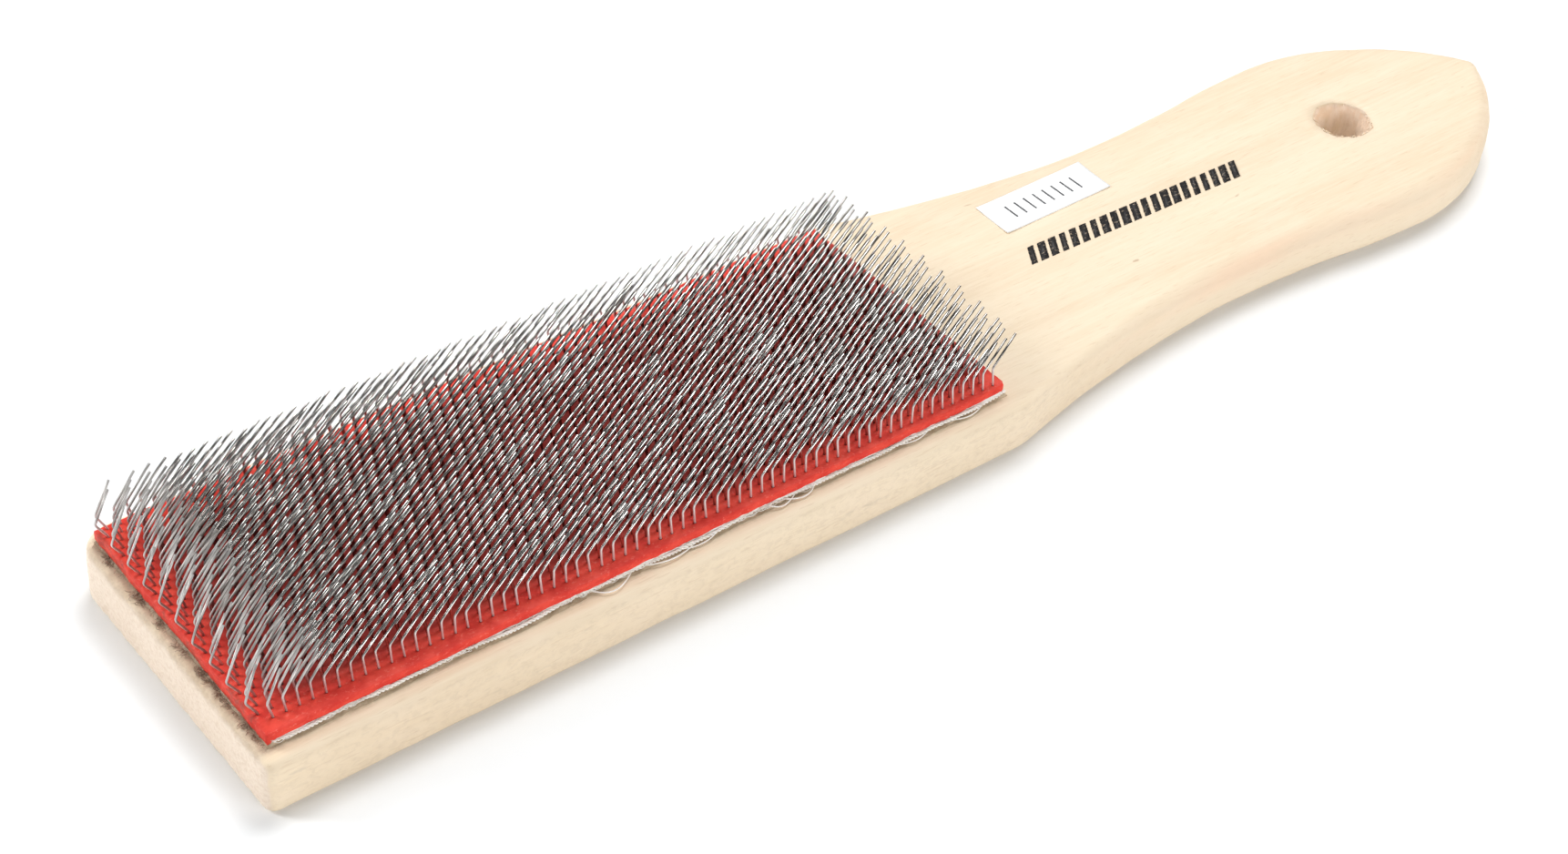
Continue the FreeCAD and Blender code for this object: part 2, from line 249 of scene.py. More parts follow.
def at_height(flat, height):
    """Flat points lifted to a height, or each to its own."""
    return np.column_stack([flat, np.broadcast_to(height, len(flat))])


def unit(vectors):
    return vectors / np.linalg.norm(vectors, axis=-1, keepdims=True)


def right_of(loop):
    """The direction to the right at each point of a walk round a loop."""
    ahead = np.roll(loop, -1, axis=0) - np.roll(loop, 1, axis=0)
    return unit(np.column_stack([ahead[:, 1], -ahead[:, 0]]))


def between_rings(first, second):
    """Four-sided faces between two closed rings of vertex numbers."""
    return np.stack([first, np.roll(first, -1), np.roll(second, -1), second], axis=1)


def make_handle():
    outline = np.concatenate([paddle_half(far_corner), paddle_half(near_corner)[-2:0:-1] * (1, -1)])
    inward = right_of(outline)
    x = outline[:, 0]

    # the sanded edges are widest round the grip, and narrow towards the head and the tip
    grip = np.clip((x - shoulder_x) / (45 * MM), 0, 1) ** 2
    tip = np.clip((x - (wood_high.x - 14 * MM)) / (13 * MM), 0, 1)
    top_inset = (1.35 + 2.1 * grip - 1.5 * tip) * MM
    top_drop = (1.2 + 1.5 * grip - 0.8 * tip) * MM
    base_inset = (1.1 + 1.5 * grip - 0.9 * tip) * MM
    base_drop = (1.0 + 1.2 * grip - 0.6 * tip) * MM

    levels = [(base_inset * (1 - math.sin(angle)), base_drop * (1 - math.cos(angle)))
              for angle in np.linspace(0, math.pi / 2, 7)]
    levels += [(0 * x, base_drop + share * (wood_top - top_drop - base_drop))
               for share in np.linspace(0, 1, 9)[1:-1]]
    levels += [(top_inset * (1 - math.cos(angle)), wood_top - top_drop * (1 - math.sin(angle)))
               for angle in np.linspace(0, math.pi / 2, 9)]

    rings = []
    end_grain = np.clip(1 - (x - wood_low.x) / (1.5 * MM), 0, 1)
    for inset, height in levels:
        point = at_height(outline + inward * inset[:, None], height)
        fine = np.abs(ripple(point, (1.2 * MM, 0.5 * MM, 0.5 * MM), 3)) * (0.012 + 0.05 * end_grain)
        broad = np.abs(ripple(point, (14 * MM, 5 * MM, 5 * MM), 4)) * 0.06
        point[:, :2] += inward * ((fine + broad) * MM)[:, None]
        rings.append(point)
    count = len(outline)
    numbers = np.arange(count)
    points = list(np.concatenate(rings))
    faces = []
    for level in range(len(levels) - 1):
        faces += between_rings((level + 1) * count + numbers, level * count + numbers).tolist()

    # the hole's wall is rough all down, and its rim is torn, most of all on one side
    hole_count = 72
    angles = np.linspace(0, TAU, hole_count, endpoint=False)
    depths = np.array([0, 0.12, 0.3, 0.6, *np.linspace(1.1, 7.3, 9), 7.8, 8.1, 8.28, 8.4]) * MM
    torn = 0.5 + 0.5 * np.cos(angles - torn_side)
    rim_depth = 0.35 * MM
    hole_rings = []
    for depth in depths:
        ring = np.column_stack([np.cos(angles), np.sin(angles)]) * hole_radius + (hole_x, 0)
        ring = at_height(ring, wood_top - depth)
        rough = (ripple(ring, (2.5 * MM, 0.55 * MM, 1.2 * MM), 11) * 0.07
                 + ripple(ring, (5 * MM, 1.4 * MM, 4 * MM), 12) * 0.08)
        rim = (math.exp(-depth / rim_depth) * (0.12 + 0.38 * torn)
               + math.exp(-(wood_top - depth) / rim_depth) * 0.2)
        radius = hole_radius + (rough + rim) * MM
        ring[:, 0] = hole_x + radius * np.cos(angles)
        ring[:, 1] = radius * np.sin(angles)
        hole_rings.append(ring)
    hole_start = len(points)
    points += list(np.concatenate(hole_rings))
    hole_numbers = np.arange(hole_count)
    for level in range(len(depths) - 1):
        faces += between_rings(hole_start + level * hole_count + hole_numbers,
                               hole_start + (level + 1) * hole_count + hole_numbers).tolist()

    # the two broad faces dip a little, but not at their edges
    net = net_points((wood_low.x, -half_head), (wood_high.x, half_head), 1.6 * MM, 5)
    for outer_level, hole_level, up in ((len(levels) - 1, 0, 1), (0, len(depths) - 1, -1)):
        loop, hole = rings[outer_level][:, :2], hole_rings[hole_level][:, :2]
        inner = net[inside_loop(net, loop)]
        inner = inner[nearest(inner, loop) >= 0.9 * MM]
        inner = inner[np.hypot(inner[:, 0] - hole_x, inner[:, 1]) > hole_radius + 1.2 * MM]
        triangles = filled(loop, hole, inner)
        flat = at_height(inner, rings[outer_level][0, 2])
        fade = np.clip(nearest(inner, loop[::4]) / (5 * MM), 0, 1)
        flat[:, 2] -= up * np.abs(ripple(flat, (30 * MM, 7 * MM, 7 * MM), 6)) * 0.05 * MM * fade
        start = len(points)
        points += list(flat)
        numbers_in = np.concatenate([outer_level * count + numbers,
                                     hole_start + hole_level * hole_count + hole_numbers,
                                     start + np.arange(len(inner))])
        faces += numbers_in[triangles][:, ::up].tolist()
    return points, faces


def node(kind, inputs, **settings):
    """Adds a shader node. An input gets a value, or another node's socket to link it to, and the
    first such socket says whose material the node is for."""
    tree = next(value.id_data for value in inputs.values()
                if isinstance(value, bpy.types.NodeSocket))
    made = tree.nodes.new("ShaderNode" + kind)
    for name, value in settings.items():
        setattr(made, name, value)
    for socket, value in inputs.items():
        if isinstance(value, bpy.types.NodeSocket):
            tree.links.new(value, made.inputs[socket])
        else:
            made.inputs[socket].default_value = value
    return made


def maths(operation, first, second=0.0):
    return node("Math", {0: first, 1: second}, operation=operation).outputs[0]


def rise(value, low, high, to_low=0.0, to_high=1.0):
    """Goes smoothly from to_low to to_high as a value goes from low to high."""
    return node("MapRange", {"Value": value, "From Min": low, "From Max": high,
                             "To Min": to_low, "To Max": to_high},
                interpolation_type="SMOOTHSTEP").outputs[0]


def product(first, *others):
    for other in others:
        first = maths("MULTIPLY", first, other)
    return first


def mixed(share, first, second):
    """Goes from one colour to another with a share of 0 to 1."""
    colours = [(*value, 1) if isinstance(value, tuple) else value for value in (first, second)]
    return node("Mix", {0: share, 6: colours[0], 7: colours[1]}, data_type="RGBA").outputs[2]


def speckle(place, scale, detail, rough=0.5, warp=0.0):
    """A noise texture over a place, with its own scale along x, y and z, in features per metre."""
    stretched = node("VectorMath", {0: place, 1: scale}, operation="MULTIPLY").outputs[0]
    return node("TexNoise", {"Vector": stretched, "Scale": 1.0, "Detail": detail,
                             "Roughness": rough, "Distortion": warp}).outputs[0]


def new_material(name, roughness, **constants):
    """A material with its shader's constants set: returns it, its shader and its place."""
    material = bpy.data.materials.new(name)
    material.use_nodes = True
    shader = material.node_tree.nodes["Principled BSDF"]
    shader.inputs["Roughness"].default_value = roughness
    for socket, value in constants.items():
        shader.inputs[socket.replace("_", " ")].default_value = value
    place = material.node_tree.nodes.new("ShaderNodeTexCoord").outputs["Object"]
    return material, shader, place


def surface(shader, height, depth, strength=1.0, **looks):
    """Links looks to the shader, and raises the surface by a height of 0 to 1 times a depth."""
    raised = node("Bump", {"Height": height, "Distance": depth, "Strength": strength})
    for socket, value in {**looks, "Normal": raised.outputs[0]}.items():
        shader.id_data.links.new(value, shader.inputs[socket.replace("_", " ")])


def make_beech():
    material, shader, place = new_material("beech", 0.62, Specular_IOR_Level=0.25)
    x, y, z = node("SeparateXYZ", {0: place}).outputs[:3]
    geometry = material.node_tree.nodes.new("ShaderNodeNewGeometry")
    facing = node("SeparateXYZ", {0: geometry.outputs["Normal"]}).outputs
    end_face = rise(maths("ABSOLUTE", facing[0]), 0.55, 0.9)

    bands = speckle(place, (9, 130, 22), 3, 0.55, 0.4)
    mottle = speckle(place, (110, 150, 170), 4, 0.6)
    fibres = speckle(place, (90, 1700, 1300), 3, 0.6)
    pores = speckle(place, (330, 4200, 3800), 1, 0.5)
    end_pores = speckle(place, (1900, 1500, 1900), 3, 0.65)

    colour = mixed(rise(bands, 0.3, 0.7), (0.82, 0.66, 0.47), (0.88, 0.74, 0.55))
    colour = mixed(rise(mottle, 0.4, 0.7, 0.0, 0.35), colour, (0.89, 0.74, 0.57))
    flat_sawn = rise(maths("ABSOLUTE", facing[2]), 0.2, 0.9, 0.3, 1.0)
    lit_fibres = product(flat_sawn, rise(fibres, 0.35, 0.72, 0.0, 0.42))
    colour = mixed(lit_fibres, colour, (0.93, 0.80, 0.62))
    colour = mixed(rise(pores, 0.60, 0.74, 0.0, 0.28), colour, (0.64, 0.46, 0.29))
    # painted light: the end faces are painted paler and pinker than the wood
    colour = mixed(product(end_face, 0.6), colour, (0.97, 0.83, 0.72))
    open_pores = product(end_face, rise(end_pores, 0.42, 0.68, 0.0, 0.5))
    colour = mixed(open_pores, colour, (0.76, 0.59, 0.44))

    # the head's long sides are left a little rough from the saw, with a few bruises
    side_face = product(rise(maths("ABSOLUTE", facing[1]), 0.75, 0.95), rise(x, 0.03, 0.0))
    sawn = rise(speckle(place, (700, 900, 1100), 4, 0.7, 0.6), 0.42, 0.70, 0.0, 0.40)
    colour = mixed(product(side_face, sawn), colour, (0.68, 0.54, 0.39))
    bruises = rise(speckle(place, (130, 130, 420), 4, 0.65), 0.60, 0.74, 0.0, 0.45)
    colour = mixed(product(side_face, bruises), colour, (0.58, 0.47, 0.35))

    # the sanded edges of the grip take a warmer, pinkish tone
    blush = product(rise(z, wood_top - 0.05 * MM, wood_top - 0.9 * MM),
                    rise(z, wood_top - 4.6 * MM, wood_top - 2.0 * MM),
                    rise(x, 0.005, 0.045),
                    rise(speckle(place, (35, 60, 200), 2), 0.3, 0.7, 0.1, 0.75))
    colour = mixed(blush, colour, (0.93, 0.68, 0.49))

    # glue and dirt have soaked in round the card's front edge, and the wood is darker brown in a
    # line under the card's long edges
    band_mottle = speckle(place, (700, 420, 700), 4, 0.7)
    hairs = speckle(place, (1900, 3400, 1900), 3, 0.7, 1.2)
    patches = speckle(place, (170, 190, 170), 2, 0.5)
    off_middle = maths("ABSOLUTE", y)
    front_soil = product(rise(x, wood_low.x + 0.7 * MM, wood_low.x + 1.9 * MM),
                         rise(x, wood_low.x + 4.0 * MM, wood_low.x + 3.0 * MM),
                         rise(z, wood_top - 1.2 * MM, wood_top - 0.3 * MM),
                         rise(off_middle, half_head - 2.0 * MM, half_head - 3.6 * MM),
                         rise(hairs, 0.50, 0.56), rise(patches, 0.46, 0.60, 0.15, 0.9))
    colour = mixed(front_soil, colour, (0.24, 0.15, 0.09))
    side_band = product(rise(off_middle, half_head - 1.5 * MM, half_head - 2.9 * MM),
                        rise(x, shoulder_x + 0.5 * MM, shoulder_x - 1.5 * MM),
                        rise(band_mottle, 0.34, 0.64, 0.25, 0.7),
                        rise(z, wood_top - 1.0 * MM, wood_top - 0.2 * MM))
    colour = mixed(side_band, colour, (0.53, 0.40, 0.28))

    # torn fibres inside the drilled hole are paler and pinker, and its wall is painted brighter
    # still: painted light where the lamps leave it in shade
    seen_flat = node("CombineXYZ", {0: x, 1: y}).outputs[0]
    off_centre = node("VectorMath", {0: seen_flat, 1: (hole_x, 0, 0)},
                      operation="DISTANCE").outputs["Value"]
    hole_fibres = speckle(place, (600, 1800, 420), 3, 0.7)
    inside = product(rise(off_centre, hole_radius + 0.55 * MM, hole_radius + 0.2 * MM),
                     rise(z, wood_top - 0.05 * MM, wood_top - 0.6 * MM),
                     rise(hole_fibres, 0.35, 0.65, 0.1, 0.9))
    colour = mixed(inside, colour, (0.98, 0.82, 0.68))

    # a few small dark flecks
    flecks = speckle(place, (210, 620, 620), 1, 0.5)
    colour = mixed(rise(flecks, 0.79, 0.82, 0.0, 0.5), colour, (0.42, 0.27, 0.15))
    height = maths("ADD", product(fibres, 0.6), product(pores, -0.4))
    height = maths("ADD", height, product(end_pores, end_face, 2.6))
    surface(shader, height, 0.09 * MM, 0.7, Base_Color=colour,
            Roughness=rise(fibres, 0.3, 0.7, 0.72, 0.52))
    return material


beech = make_beech()
wooden_handle = show("wooden_handle", *make_handle(), beech)
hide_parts("handle")


def rods(paths, radii, sides):
    """Round rods along paths, which are an array by rod, point and x, y, z. The flat ends are the
    last faces, and the third result is their count."""
    count, steps = paths.shape[:2]
    along = unit(np.gradient(paths, axis=1))
    across = np.empty_like(paths)
    never_along = (0.31, 0.87, 0.38)
    across[:, 0] = np.cross(along[:, 0], never_along)
    for step in range(steps):
        if step:
            across[:, step] = across[:, step - 1]
        across[:, step] -= (across[:, step] * along[:, step]).sum(axis=1)[:, None] * along[:, step]
        across[:, step] = unit(across[:, step])
    third = np.cross(along, across)
    angles = np.arange(sides) * TAU / sides
    radii = np.broadcast_to(np.asarray(radii, float), (count, steps))[..., None, None]
    rings = paths[:, :, None] + radii * (np.cos(angles)[:, None] * across[:, :, None]
                                         + np.sin(angles)[:, None] * third[:, :, None])
    number = np.arange(count * steps * sides).reshape(count, steps, sides)
    first, second = number[:, :-1], number[:, 1:]
    walls = np.stack([first, np.roll(first, -1, axis=2), np.roll(second, -1, axis=2), second],
                     axis=-1)
    ends = np.concatenate([number[:, 0, ::-1], number[:, -1]])
    return rings.reshape(-1, 3), walls.reshape(-1, 4).tolist() + ends.tolist(), 2 * count


def make_hole_splinters():
    """Short torn fibres that the drill left round the hole's rim, most of them on one side."""
    draw = np.random.default_rng(21)
    count = 150
    angle = torn_side + draw.normal(0, 1.15, count)
    height = np.where(draw.random(count) < 0.6, wood_top - draw.uniform(0.05, 0.5, count) * MM,
                      draw.uniform(1.0, 7.6, count) * MM)
    reach = draw.uniform(0.3, 1.15, count) * MM
    turn = draw.normal(0, 0.8, count)
    shares = np.linspace(0, 1, 5)
    paths = np.empty((count, 5, 3))
    root = hole_radius + 0.25 * MM
    for step, share in enumerate(shares):
        bend = angle + turn * share * reach / hole_radius
        radius = root - reach * (share - 0.35 * share**2)
        paths[:, step] = np.column_stack([hole_x + radius * np.cos(bend), radius * np.sin(bend),
                                          height - 0.25 * reach * share**2])
    thick = draw.uniform(0.05, 0.12, count)[:, None] * np.linspace(1, 0.25, 5) * MM
    return rods(paths, thick, 5)


hole_splinters = show("hole_splinters", *make_hole_splinters()[:2], beech)

# ---- The cement layer ------------------------------------
# A thin coat of brown contact cement that bonds the card's cloth to the board and beds the
# staples' crowns. It was brushed on by hand, and squeezed out a little past the cloth's edges.

card_low, card_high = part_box("rubber_face")
cement_low, cement_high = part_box("cement_layer")


def side_points(corners, spacing):
    """Points along the straight sides of a closed loop."""
    return np.concatenate([straight_points(start, end, spacing)
                           for start, end in zip(corners, corners[1:] + corners[:1])])


def card_loop(grow, waver, fine, seed, chip=0.0, front=0.0, rear=0.0):
    """The card's outline as a loop, grown past its edges, with a wavy, rough cut and maybe a
    chipped corner. It stops short of the card's ends by front and rear."""
    start_x, end_x, near, far = card_low.x + front, card_high.x - rear, card_low.y, card_high.y
    corners = [(start_x, near), (end_x - chip, near), (end_x - 0.35 * chip, near + 0.3 * chip),
               (end_x, near + chip), (end_x, far), (start_x, far)]
    if not chip:
        corners[1:4] = [(end_x, near)]
    loop = side_points(corners, 0.4 * MM)
    flat = at_height(loop, 0)
    offset = grow + ripple(flat, 9 * MM, seed) * waver + ripple(flat, 1.3 * MM, seed + 1) * fine
    return loop + right_of(loop) * offset[:, None]


def layer(loops, heights, dent=None, spacing=3 * MM, extra=None, seed=7):
    """A flat layer with a loop of its edge at each height, from its underside to its top. The top
    is a net with extra points in it, and dent(points) gives how far it is pushed down."""
    count = len(loops[0])
    numbers = np.arange(count)
    points = [at_height(loop, height) for loop, height in zip(loops, heights)]
    faces = []
    for level in range(len(loops) - 1):
        faces += between_rings(level * count + numbers, (level + 1) * count + numbers).tolist()
    start = count * len(loops)
    none = np.empty((0, 2))
    base = filled(loops[0], none, none)
    faces += base[:, ::-1].tolist()
    net = net_points((card_low.x, card_low.y), (card_high.x, card_high.y), spacing, seed)
    inner = net[inside_loop(net, loops[-1])]
    inner = inner[nearest(inner, loops[-1]) >= 0.3 * MM]
    if extra is not None:  # the first of every 24 points round a wire stands for them all
        inner = np.concatenate([inner[nearest(inner, extra[::24]) >= 0.75 * MM], extra])
    top = filled(loops[-1], none, inner)
    flat = at_height(inner, heights[-1])
    if dent:
        flat[:, 2] -= dent(flat)
    points.append(flat)
    top = np.where(top < count, top + (len(loops) - 1) * count, top - count + start)
    return np.concatenate(points), faces + top.tolist()


def make_cement_paint():
    material, shader, place = new_material("dried_cement", 0.55, Specular_IOR_Level=0.35)
    lumps = speckle(place, (400, 400, 900), 4, 0.65)
    colour = mixed(rise(lumps, 0.3, 0.7), (0.33, 0.23, 0.14), (0.60, 0.47, 0.33))
    surface(shader, lumps, 0.15 * MM, Base_Color=colour)
    return material


# the bead's growth past the card, waver and roughness at each height
bead_edge = ((0.20, 0.14, 0.08), (0.14, 0.14, 0.08), (-0.06, 0.10, 0.06), (-0.25, 0.03, 0.03))
cement_loops = [card_loop(grow * MM, waver * MM, fine * MM, 31) for grow, waver, fine in bead_edge]
cement_heights = [cement_low.z + height * MM for height in (-0.02, 0.08, 0.25)] + [cement_high.z]
cement_bead = show("cement_bead", *layer(cement_loops, cement_heights), make_cement_paint())
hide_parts("cement_layer")

# ---- The cotton backing ----------------------------------
# Three plies of white cotton duck, glued into one stiff cloth that holds the wires. It was cut to
# a strip with shears, so its edge is frayed, and ends and loops of thread hang out along it.

cotton_low, cotton_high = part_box("cotton_backing")


def make_cotton_cloth():
    # height and growth: the lowest ply is cut back furthest, and each ply's cut edge bulges
    profile = [(0.01, -0.25), (0.10, -0.20), (0.17, -0.24), (0.25, -0.10), (0.35, -0.02),
               (0.45, -0.05), (0.50, -0.12), (0.57, -0.06), (0.66, -0.08), (0.74, -0.20)]
    rough = 0.05 * MM
    loops = [card_loop(grow * MM, rough, rough, 41 + level // 3, front=0.55 * MM, rear=0.9 * MM)
             for level, (_, grow) in enumerate(profile)]
    return layer(loops, [cotton_low.z + height * MM for height, _ in profile])


def make_cotton():
    material, shader, place = new_material(
        "cotton", 0.95, Specular_IOR_Level=0.1, Sheen_Weight=0.3, Sheen_Roughness=0.6)
    fuzz = speckle(place, (1500, 1500, 2500), 4, 0.7)
    dirt = speckle(place, (160, 160, 400), 3, 0.6)
    colour = mixed(rise(fuzz, 0.3, 0.65), (0.90, 0.85, 0.76), (0.98, 0.96, 0.92))
    colour = mixed(rise(dirt, 0.55, 0.78, 0.0, 0.4), colour, (0.60, 0.50, 0.40))
    x = node("SeparateXYZ", {0: place}).outputs[0]
    soiled = rise(x, card_low.x + 0.9 * MM, card_low.x + 0.3 * MM, 0.0, 0.95)
    colour = mixed(soiled, colour, (0.33, 0.215, 0.135))
    surface(shader, fuzz, 0.12 * MM, Base_Color=colour)
    return material


def make_edge_yarns():
    """The outermost yarn along each long edge: two strands twisted together, worked half loose."""
    steps = 1000
    lay, strand_offset, strand_radius = 1.15 * MM, 0.14 * MM, 0.13 * MM
    strands = []
    for edge, side, seed in ((card_low.y, -1, 55), (card_high.y, 1, 57)):
        x = np.linspace(card_low.x + 0.8 * MM, card_high.x + 0.2 * MM, steps)
        core = np.column_stack([x, np.full(steps, edge), np.full(steps, cotton_low.z + 0.30 * MM)])
        tail = np.clip((x - card_high.x + 1.6 * MM) / (1.8 * MM), 0, 1)
        wander = ripple(core, 11 * MM, seed), ripple(core, 6 * MM, seed + 1)
        core[:, 1] += side * (0.10 + 0.16 * wander[0] - 0.5 * tail) * MM
        core[:, 2] += (0.07 * wander[1] - 0.35 * tail**2) * MM
        twist = TAU * x / lay + 0.8 * wander[0]
        for phase in (0, math.pi):
            strand = core.copy()
            strand[:, 1] += strand_offset * np.cos(twist + phase)
            strand[:, 2] += strand_offset * np.sin(twist + phase)
            strands.append(strand)
    return rods(np.array(strands), strand_radius, 7)[:2]


def joined(*parts):
    """Several lists of points and faces as one."""
    starts = np.cumsum([0] + [len(points) for points, _ in parts]).tolist()
    faces = [[number + start for number in face]
             for (_, part), start in zip(parts, starts) for face in part]
    return np.concatenate([points for points, _ in parts]), faces


def make_loose_threads():
    """Frayed ends along the cut edges, longer loops that stand out of them, and tufts of fluff."""
    draw = np.random.default_rng(51)
    paths, thick = [], []
    shares = np.linspace(0, 1, 12)
    near, far = card_low.y, card_high.y

    def thread(x, y, z, length, out, side, radius):
        """One thread from a point on a long edge, wandering along it and out of it."""
        wave = draw.uniform(0, TAU, 3)
        arch = np.sin(shares * math.pi)
        run = x + length * shares + 0.25 * MM * np.sin(5 * shares + wave[0])
        push = out * arch + 0.10 * MM * np.sin(7 * shares + wave[1])
        rise_by = -0.18 * MM * arch + 0.09 * MM * np.sin(6 * shares + wave[2])
        height = np.maximum(z + rise_by, wood_top + radius)
        paths.append(np.column_stack([run, y + side * push, height]))
        thick.append(radius * (1 - 0.5 * shares**4))

    for edge, side, count in ((near, -1, 190), (far, 1, 150)):
        for _ in range(count):
            x = draw.uniform(card_low.x + 0.5 * MM, card_high.x - 6 * MM)
            z = draw.uniform(cotton_low.z + 0.1 * MM, cotton_high.z - 0.1 * MM)
            thread(x, edge, z, draw.uniform(1.0, 4.0) * MM, draw.uniform(0.05, 0.3) * MM, side,
                   draw.uniform(0.03, 0.06) * MM)
    # the near edge's long loops: how far along the card, their length, how far they stand out
    for x, length, out in ((46, 6.5, 1.5), (54.5, 8.5, 1.0), (60, 6, 0.8), (74, 5, 0.8),
                           (77, 5, 1.0), (96, 6, 0.7), (105, 7, 0.9)):
        thread(card_low.x + x * MM, near, cotton_low.z + 0.2 * MM, length * MM, out * MM, -1,
               0.10 * MM)
    # the ends of the lengthwise threads, at the card's two ends
    for _ in range(190):
        at_rear = draw.random() < 0.3
        end, side = (card_high.x - 0.7 * MM, 1) if at_rear else (card_low.x + 0.1 * MM, -1)
        y = draw.uniform(near + 0.5 * MM, far - 0.5 * MM)
        z = draw.uniform(cotton_low.z + 0.1 * MM, cotton_high.z - 0.1 * MM)
        reach = draw.uniform(0.3, 1.2) * MM
        bend = draw.normal(0, 0.35) * MM
        height = np.maximum(z - 0.5 * reach * shares**2, wood_top + 0.06 * MM)
        paths.append(np.column_stack([end + side * reach * (shares - 0.15), y + bend * shares**2,
                                      height]))
        thick.append(draw.uniform(0.02, 0.045) * MM * (1 - 0.6 * shares))
    # tufts of soiled fluff before the front end
    for middle in draw.uniform(near + 1 * MM, far - 1 * MM, 17):
        for _ in range(draw.integers(6, 22)):
            y = middle + draw.normal(0, 0.45) * MM
            x = card_low.x + 0.2 * MM - abs(draw.normal(0, 0.5)) * MM
            heading, length = draw.normal(math.pi, 0.9), draw.uniform(0.3, 1.1) * MM
            heading = heading + draw.normal(0, 1.2) * shares
            z = wood_top + draw.uniform(0.06, 0.40) * MM
            height = np.maximum(z + draw.normal(0, 0.12) * MM * shares, wood_top + 0.05 * MM)
            forward = np.maximum(x + length * np.cos(heading) * shares, card_low.x - 1.8 * MM)
            paths.append(np.column_stack([forward, y + length * np.sin(heading) * shares, height]))
            thick.append(draw.uniform(0.03, 0.065) * MM * (1 - 0.5 * shares))
    return joined(make_edge_yarns(), rods(np.array(paths), np.array(thick), 5)[:2])


cotton = make_cotton()
cotton_cloth = show("cotton_cloth", *make_cotton_cloth(), cotton)
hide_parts("cotton_backing")
loose_threads = show("loose_threads", *make_loose_threads(), cotton)

# ---- The wires -------------------------------------------
# Hard bright steel wire, bent into staples that are pressed up through the cloth and the rubber,
# each with its crown underneath and two legs on top. Every leg kneels forward, then reaches back.

WIRE_LINES = 30
STAPLES_PER_LINE = 63
TWILL = 3  # a staple spans this many lines, and the stagger of the lines repeats after as many
wire_radius = 0.165 * MM
side_margin = 1.5 * MM
front_margin = 1.0 * MM
rear_margin = 1.8 * MM
line_spacing = (card_high.y - card_low.y - 2 * side_margin) / (WIRE_LINES - 1)
pitches_in_line = STAPLES_PER_LINE - 1 + (TWILL - 1) / TWILL
staple_pitch = (card_high.x - card_low.x - front_margin - rear_margin) / pitches_in_line
rubber_top = card_high.z
crown_z = (cement_low.z + cement_high.z) / 2
# the strip was sheared askew to the lines: they shift across it with the way from skew_middle
skew, skew_middle = 0.012, 75 * MM
tallest_tip = rubber_top + 7.48 * MM
lower_lean = 0.226  # how far forward a leg leans in the card, for each metre of height
knee_bend, root_bend, crown_bend = 0.42 * MM, 0.35 * MM, 0.3 * MM


def line_y(line, x):
    """How far across the card a line of wires stands."""
    return (line - (WIRE_LINES - 1) / 2) * line_spacing - skew * (x - card_low.x - skew_middle)


def root_x(line, place):
    stagger = (line + TWILL - 1) % TWILL * staple_pitch / TWILL
    return card_low.x + front_margin + stagger + place * staple_pitch


def rounded_path(corners, radii, steps):
    """Paths through corner points, one for each rod, with every corner turned into a soft bend."""
    points = [corners[:, 0]]
    for i in range(1, corners.shape[1] - 1):
        corner = corners[:, i]
        before, after = corners[:, i - 1] - corner, corners[:, i + 1] - corner
        start, end = corner + unit(before) * radii[i - 1], corner + unit(after) * radii[i - 1]
        for share in np.linspace(0, 1, steps[i - 1]):
            points.append((1 - share) ** 2 * start + 2 * share * (1 - share) * corner
                          + share**2 * end)
    points.append(corners[:, -1])
    return np.stack(points, axis=1)


def leg_corners(line, places, draw):
    """The tip, knee, root and foot of one leg of each staple in a line, with the small
    differences that use and the setting machine leave."""
    count = len(places)
    x = root_x(line, places)
    root = np.column_stack([x, line_y(line, x), np.full(count, rubber_top)])
    behind = x - card_low.x - front_margin
    # the first wires are knocked back and fanned, and the nearest line stands a little lower
    into_front, fanned = np.exp(-behind / (1.3 * MM)), np.exp(-behind / (3.6 * MM))
    at_near = math.exp(-line / 0.7)
    knee_height = (3.05 - 0.55 * fanned - 0.15 * at_near) * MM + draw.normal(0, 0.10, count) * MM
    knee_back = (0.7 + 0.9 * into_front - 0.4 * at_near) * MM + draw.normal(0, 0.07, count) * MM
    sway = draw.normal(0, 0.06, count) * MM
    knee = root + np.column_stack([-knee_back, sway, knee_height])
    at_rear = np.exp(-(card_high.x - x) / (25 * MM))
    reach = (4.65 - 2.5 * fanned - 0.5 * at_near) * MM + draw.normal(0, 0.10, count) * MM
    climb = (4.45 + 0.8 * fanned - 0.4 * at_near) * MM - np.abs(draw.normal(0, 0.12, count)) * MM
    drift = 0.10 + 0.30 * math.exp(-line / 5) + 0.15 * at_rear + draw.normal(0, 0.10, count)
    tip = knee + np.column_stack([reach, drift * MM + 0.5 * sway, climb])
    tip[:, 2] = np.minimum(tip[:, 2], tallest_tip)
    depth = rubber_top - crown_z
    foot = root + (depth * lower_lean, 0, -depth)
    return tip, knee, root, foot


def make_wires(line, seed):
    draw = np.random.default_rng(seed)
    places = np.arange(STAPLES_PER_LINE)
    near = leg_corners(line, places, draw)
    far = leg_corners(line + TWILL, places, draw)
    # both legs of a staple stand side by side, so the far leg's root has the near leg's stagger
    corners = np.stack([*near, *far[::-1]], axis=1)
    bends = [knee_bend, root_bend, crown_bend, crown_bend, root_bend, knee_bend]
    return rods(rounded_path(corners, bends, [6, 2, 3, 3, 2, 6]), wire_radius, 7)


def amid_wires(x, y):
    """1 between the wires, falling to 0 towards the card's edges."""
    off_middle = maths("ABSOLUTE", y)
    return product(rise(off_middle, card_high.y - 2.2 * MM, card_high.y - 6.0 * MM),
                   rise(x, card_low.x + 1.5 * MM, card_low.x + 7 * MM),
                   rise(x, card_high.x + 0.8 * MM, card_high.x - 0.8 * MM))


